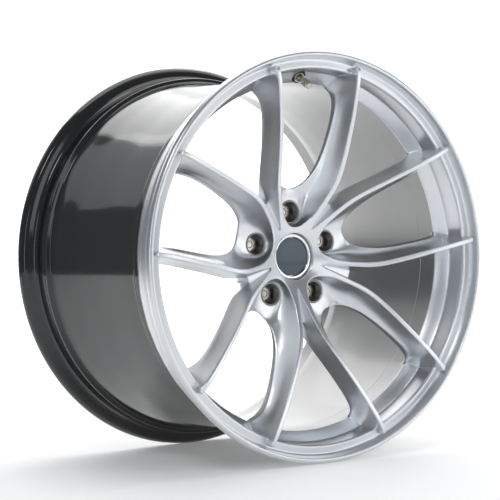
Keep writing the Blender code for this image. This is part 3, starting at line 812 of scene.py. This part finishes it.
BLACK = (0.010, 0.011, 0.012)
NOISE_LOW, NOISE_HIGH = 0.3, 0.7   # the span that most of a noise texture's values lie in
FACE_TONES = ((0.66, 0.68, 0.71), (0.76, 0.775, 0.80))
# darker silver that paints the shade falling inside the barrel and the bore
PAINTED_SHADE_TONES = ((0.24, 0.24, 0.236), (0.31, 0.31, 0.306))
SILVER_METAL = 0.95
SILVER_ROUGH = (0.285, 0.320)
BLACK_ROUGH = 0.10
RIM_BORE_START = 47.2         # depth where the rim section's straight bore begins
RIM_BORE_SPAN = 1.2           # how far the bore's surface strays from its radius
BLACK_START = 51.0            # depth where the silver gives way to black on the tyre side
BLACK_BLEND = 1.5
BLACK_WANDER = 0.8
PAINT_CORNER = 0.0022         # radius that the paint gives to inner and outer corners


def silver_paint(name, tones):
    """Metallic silver paint with fine flake and a slight cloudiness, and what it is made of."""
    mat = new_material(name, tones[1], 0.26, SILVER_METAL, coat=0.35, coat_roughness=0.10)
    nodes = Nodes(mat)
    flake = nodes.noise(2600.0, 3.0, 0.7)
    cloud = nodes.noise(14.0, 3.0)
    flake_share = nodes.spread(flake, NOISE_LOW, NOISE_HIGH, 0.0, 1.0)
    tone = nodes.mix(flake_share, *tones)
    rough = nodes.spread(cloud, NOISE_LOW, NOISE_HIGH, *SILVER_ROUGH)
    nodes.put(tone, nodes.shader.inputs["Base Color"])
    nodes.put(rough, nodes.shader.inputs["Roughness"])
    return nodes, flake, flake_share, tone, rough


# Painted shade: the inside of the barrel takes a darker silver in place of the shade that falls there.
def painted_shade_silver():
    nodes, flake, *_ = silver_paint("painted_shade_silver", PAINTED_SHADE_TONES)
    nodes.bump(flake, 0.00001, 0.15)
    return nodes.mat


def face_paint():
    """Silver that takes a darker silver of painted shade in the bore and gives way to gloss black on
    the tyre side.
    """
    nodes, flake, flake_share, tone, rough = silver_paint("face_paint", FACE_TONES)
    radius, depth = nodes.polar()
    from_bore = nodes.math("ABSOLUTE", nodes.math("SUBTRACT", radius, SEAM_IN_R))
    bore = nodes.math("LESS_THAN", from_bore, RIM_BORE_SPAN)
    behind_lip = nodes.math("GREATER_THAN", depth, RIM_BORE_START)
    # painted shade: the bore behind the lip takes the darker silver
    inner = nodes.mix(flake_share, *PAINTED_SHADE_TONES)
    tone = nodes.mix(nodes.math("MULTIPLY", bore, behind_lip), tone, inner)
    blotches = nodes.noise(30.0, 4.0, 0.6)
    wander = nodes.spread(blotches, NOISE_LOW, NOISE_HIGH, -BLACK_WANDER, BLACK_WANDER)
    edge = nodes.math("ADD", depth, wander)
    past = nodes.spread(edge, BLACK_START - BLACK_BLEND, BLACK_START + BLACK_BLEND, 0.0, 1.0)
    outside = nodes.math("GREATER_THAN", radius, SPIGOT_R - 1.0)
    mask = nodes.math("MULTIPLY", past, outside, clamp=True)
    nodes.put(nodes.mix(mask, tone, BLACK), nodes.shader.inputs["Base Color"])
    nodes.put(nodes.spread(mask, 0.0, 1.0, rough, BLACK_ROUGH), nodes.shader.inputs["Roughness"])
    nodes.put(nodes.spread(mask, 0.0, 1.0, SILVER_METAL, 0.0), nodes.shader.inputs["Metallic"])
    nodes.bump(flake, 0.00001, 0.15, PAINT_CORNER)
    return nodes.mat


def gloss_black():
    mat = new_material("gloss_black_paint", BLACK, 0.08, 0.0, coat=0.35, coat_roughness=0.03)
    nodes = Nodes(mat)
    nodes.put(nodes.mix(nodes.noise(9.0, 3.0), (0.008, 0.009, 0.010), (0.014, 0.014, 0.015)),
              nodes.shader.inputs["Base Color"])
    nodes.put(nodes.spread(nodes.noise(60.0, 4.0), NOISE_LOW, NOISE_HIGH, 0.08, 0.13),
              nodes.shader.inputs["Roughness"])
    nodes.bump(nodes.noise(420.0, 2.0), 0.00002, 0.20)
    return mat


def chrome():
    mat = new_material("polished_chrome", (0.86, 0.86, 0.86), 0.05, 1.0)
    nodes = Nodes(mat)
    nodes.put(nodes.mix(nodes.noise(900.0, 3.0), (0.82, 0.82, 0.82), (0.90, 0.90, 0.89)),
              nodes.shader.inputs["Base Color"])
    nodes.put(nodes.spread(nodes.noise(300.0, 4.0), NOISE_LOW, NOISE_HIGH, 0.03, 0.08),
              nodes.shader.inputs["Roughness"])
    return mat


def satin(name, dark, light, roughness, metallic, grain=1500.0, coat=0.0, bump=0.00001):
    """A two-tone satin finish with fine grain."""
    mat = new_material(name, dark, roughness, metallic, coat)
    nodes = Nodes(mat)
    grain_noise = nodes.noise(grain, 3.0, 0.6)
    share = nodes.spread(grain_noise, NOISE_LOW, NOISE_HIGH, 0.0, 1.0)
    nodes.put(nodes.mix(share, dark, light), nodes.shader.inputs["Base Color"])
    cloud = nodes.noise(grain / 8, 3.0)
    nodes.put(nodes.spread(cloud, NOISE_LOW, NOISE_HIGH, roughness - 0.05, roughness + 0.05),
              nodes.shader.inputs["Roughness"])
    nodes.bump(grain_noise, bump, 0.4)
    return mat


# ---------------------------------------------------------------- assembly

def finish_piece(obj, mats, body, slot, *nodes):
    obj.data.materials.clear()
    for mat in mats:
        obj.data.materials.append(mat)
    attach(obj, body)
    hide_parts(*nodes)


def paint_barrel(obj):
    """The second material, a darker silver that paints the shade inside the barrel, goes on the faces
    that look towards the axle.
    """
    for polygon in obj.data.polygons:
        x, y, z = polygon.center
        radial = polygon.normal.x * x + polygon.normal.z * z
        depth = y / MM + HALF_W
        inside = radial < 0 and depth < WIDTH - 12.0
        polygon.material_index = 1 if inside else 0


def dress_node(name, mat):
    """A CAD node that keeps its shape takes a finer material."""
    for k in range(len(NODES[name].material_slots)):
        NODES[name].material_slots[k].material = mat


PAINT = face_paint()
SHADE_PAINT = painted_shade_silver()
BLACK_PAINT = gloss_black()
CHROME = chrome()
CAP_BLUE = satin("cap_satin_blue", (0.050, 0.070, 0.093), (0.060, 0.083, 0.108), 0.36, 0.25, coat=0.25)
SLEEVE = satin("sleeve_grey", (0.24, 0.24, 0.238), (0.34, 0.34, 0.335), 0.34, 0.95, 900.0)
TITANIUM = satin("nut_titanium", (0.62, 0.58, 0.52), (0.74, 0.70, 0.64), 0.22, 1.0, 1200.0)
RING = satin("ring_steel", (0.74, 0.74, 0.75), (0.84, 0.84, 0.85), 0.24, 1.0, 1200.0)
NICKEL = satin("valve_nickel", (0.40, 0.37, 0.33), (0.54, 0.51, 0.46), 0.20, 1.0, 1500.0)
RUBBER = satin("black_rubber", (0.012, 0.012, 0.012), (0.022, 0.022, 0.021), 0.62, 0.0, 800.0)
PLASTIC = satin("black_plastic", (0.016, 0.016, 0.017), (0.028, 0.028, 0.028), 0.48, 0.0, 700.0)
SPRING = satin("spring_steel", (0.40, 0.40, 0.41), (0.50, 0.50, 0.51), 0.30, 1.0, 1500.0)
BRASS = satin("valve_brass", (0.56, 0.42, 0.17), (0.66, 0.50, 0.22), 0.28, 1.0, 1500.0)

centre = wheel_centre()
finish_piece(centre, [PAINT], "wheel", "silver_paint", "spoked_centre")
barrel = rim_barrel()
finish_piece(barrel, [BLACK_PAINT, SHADE_PAINT], "wheel", "gloss_black_paint", "rim_barrel")
paint_barrel(barrel)

bezel = cap_bezel()
smooth(bezel)
finish_piece(bezel, [CHROME], "centre_cap", "chrome_trim", "cap_bezel")
disc = cap_disc()
smooth(disc)
finish_piece(disc, [CAP_BLUE], "centre_cap", "cap_face_paint", "cap_disc")
dress_node("cap_carrier", PLASTIC)
dress_node("cap_spring", SPRING)

for k in range(1, LUGS + 1):
    sleeve = lug_insert(k)
    smooth(sleeve)
    finish_piece(sleeve, [SLEEVE], "wheel", "insert_steel", "lug_insert_%d" % k)
    ring = lug_washer(k)
    smooth(ring)
    finish_piece(ring, [RING], "lug_washer_%d" % k, "spring_steel", "lug_washer_%d" % k)
    finish_piece(lug_nut(k), [TITANIUM], "lug_nut_%d" % k, "nut_titanium", "lug_nut_%d" % k)

valve = valve_parts()
finish_piece(valve["stem"], [NICKEL], "wheel", "nickel_plate", "valve_stem")
finish_piece(valve["grommet"], [RUBBER], "wheel", "seal_rubber", "valve_grommet")
finish_piece(valve["washer"], [NICKEL], "wheel", "nickel_plate", "valve_washer")
finish_piece(valve["nut"], [NICKEL], "wheel", "nickel_plate", "valve_nut")
finish_piece(valve["cap"], [NICKEL], "valve_cap", "nickel_plate", "valve_cap")
for name, mat in (("valve_inner_seal", RUBBER), ("valve_cap_seal", RUBBER),
                  ("valve_core", BRASS), ("valve_pin", BRASS)):
    dress_node(name, mat)


# ---------------------------------------------------------------- stage, lights and camera

FLOOR_Z = -CREST_R * MM

# The camera's place and directions, solved from the photograph
CAMERA_PLACE = (-1.5229, -2.2030, 0.0754)
RIGHT = Vector((0.82182, -0.56893, -0.03041))
UP = Vector((0.03929, 0.00335, 0.99922))
AHEAD = Vector((0.56839, 0.82238, -0.02510))
LENS = 146.5
SENSOR = 36.0

# The sweep's side view, in metres from the wheel's centre
SWEEP_FRONT = -3.6
SWEEP_BACK = 2.6
SWEEP_RISE = 3.4
SWEEP_SIDE = 2.4
BEND_R = 0.9
BEND_STEPS = 12

# Name, place, aim, size, watts and colour of each area light
COOL = (0.85, 0.92, 1.0)
WHITE = (1, 1, 1)
LIGHTS = (
    ("key", (-2.2, -1.6, 2.4), (0, 0, 0), (0.8, 0.8), 18, WHITE),
    ("fill_front", (1.9, -2.75, 0.50), (0, 0, 0), (2.2, 1.5), 15.5, WHITE),
    ("side_left", (-2.6, -1.75, 0.4), (0, 0, 0), (0.4, 1.5), 8, COOL),
    ("rear_left", (0.52, 2.07, 1.75), (-0.62, 0.43, 0), (2.0, 1.2), 7, WHITE),
    ("left_high", (-0.93, 2.35, 1.4), (-0.1, 0.1, 0), (1.6, 1.0), 3, WHITE),
    ("front", (-0.5, -3.6, 1.0), (0, 0, 0), (1.8, 1.3), 10, WHITE),
    ("right", (2.9, -0.7, 0.5), (0, 0, 0), (1.8, 1.4), 10, WHITE),
    ("top", (0.9, 0.4, 2.6), (0, 0, 0), (2.6, 3.4), 48, WHITE),
)


def floor_paint():
    """Pale paint that glows as painted light, more towards the backdrop, and less close behind the
    wheel as a painted shadow.
    """
    mat = satin("pale_floor", (0.88, 0.88, 0.88), (0.91, 0.91, 0.91), 0.7, 0.0, 3.0, bump=0.0)
    nodes = Nodes(mat)
    split = nodes.tree.nodes.new("ShaderNodeSeparateXYZ")
    nodes.link(nodes.coords(), split.inputs[0])
    across, along = split.outputs[0], split.outputs[1]
    nodes.shader.inputs["Emission Color"].default_value = (1, 1, 1, 1)
    # painted light: the floor glows, more towards the backdrop
    glow = nodes.spread(along, -0.1, 2.0, 0.22, 0.95)
    # painted shadow: the glow drops in a pool close behind the wheel
    behind = nodes.math("SUBTRACT", along, 0.6)
    across_square = nodes.math("MULTIPLY", across, across)
    behind_square = nodes.math("MULTIPLY", behind, behind)
    reach = nodes.math("SQRT", nodes.math("ADD", across_square, behind_square))
    painted_shadow_pool = nodes.spread(reach, 0.2, 0.9, 0.25, 1.0)
    nodes.put(nodes.math("MULTIPLY", glow, painted_shadow_pool), nodes.shader.inputs["Emission Strength"])
    return mat


def stage():
    """Pale floor that sweeps up into a backdrop, turned to face the camera."""
    bm = bmesh.new()
    bend_start = SWEEP_BACK - BEND_R
    path = [(SWEEP_FRONT, 0.0), (bend_start, 0.0)]
    for j in range(1, BEND_STEPS + 1):
        a = pi / 2 * j / BEND_STEPS
        path.append((bend_start + BEND_R * sin(a), BEND_R - BEND_R * cos(a)))
    path.append((SWEEP_BACK, SWEEP_RISE))
    rows = []
    for y, z in path:
        rows.append([bm.verts.new((x, y, z)) for x in (-SWEEP_SIDE, SWEEP_SIDE)])
    for first, second in zip(rows, rows[1:]):
        bm.faces.new((first[0], first[1], second[1], second[0]))
    mesh = bpy.data.meshes.new("sweep")
    bm.to_mesh(mesh)
    bm.free()
    mesh.shade_smooth()
    obj = bpy.data.objects.new("sweep", mesh)
    obj.location.z = FLOOR_Z
    obj.rotation_euler.z = -atan2(AHEAD.x, AHEAD.y)
    bpy.context.scene.collection.objects.link(obj)
    mesh.materials.append(floor_paint())


def area_light(name, place, target, size, power, colour):
    light = bpy.data.lights.new(name, "AREA")
    light.shape = "RECTANGLE"
    light.size, light.size_y = size
    light.energy = power
    light.color = colour
    obj = bpy.data.objects.new(name, light)
    bpy.context.scene.collection.objects.link(obj)
    obj.location = place
    obj.rotation_euler = (Vector(target) - Vector(place)).to_track_quat("-Z", "Y").to_euler()


def world():
    scene_world = bpy.data.worlds.new("studio")
    bpy.context.scene.world = scene_world
    scene_world.use_nodes = True
    back = scene_world.node_tree.nodes["Background"]
    back.inputs["Color"].default_value = (0.90, 0.95, 1.0, 1.0)
    back.inputs["Strength"].default_value = 0.22


def camera():
    data = bpy.data.cameras.new("view")
    data.lens = LENS
    data.sensor_width = SENSOR
    obj = bpy.data.objects.new("view", data)
    turn = Matrix((RIGHT, UP, -AHEAD)).transposed().to_4x4()
    obj.matrix_world = Matrix.Translation(CAMERA_PLACE) @ turn
    bpy.context.scene.collection.objects.link(obj)
    bpy.context.scene.camera = obj


stage()
world()
for light in LIGHTS:
    area_light(*light)
bpy.context.scene.view_settings.view_transform = "Standard"
camera()
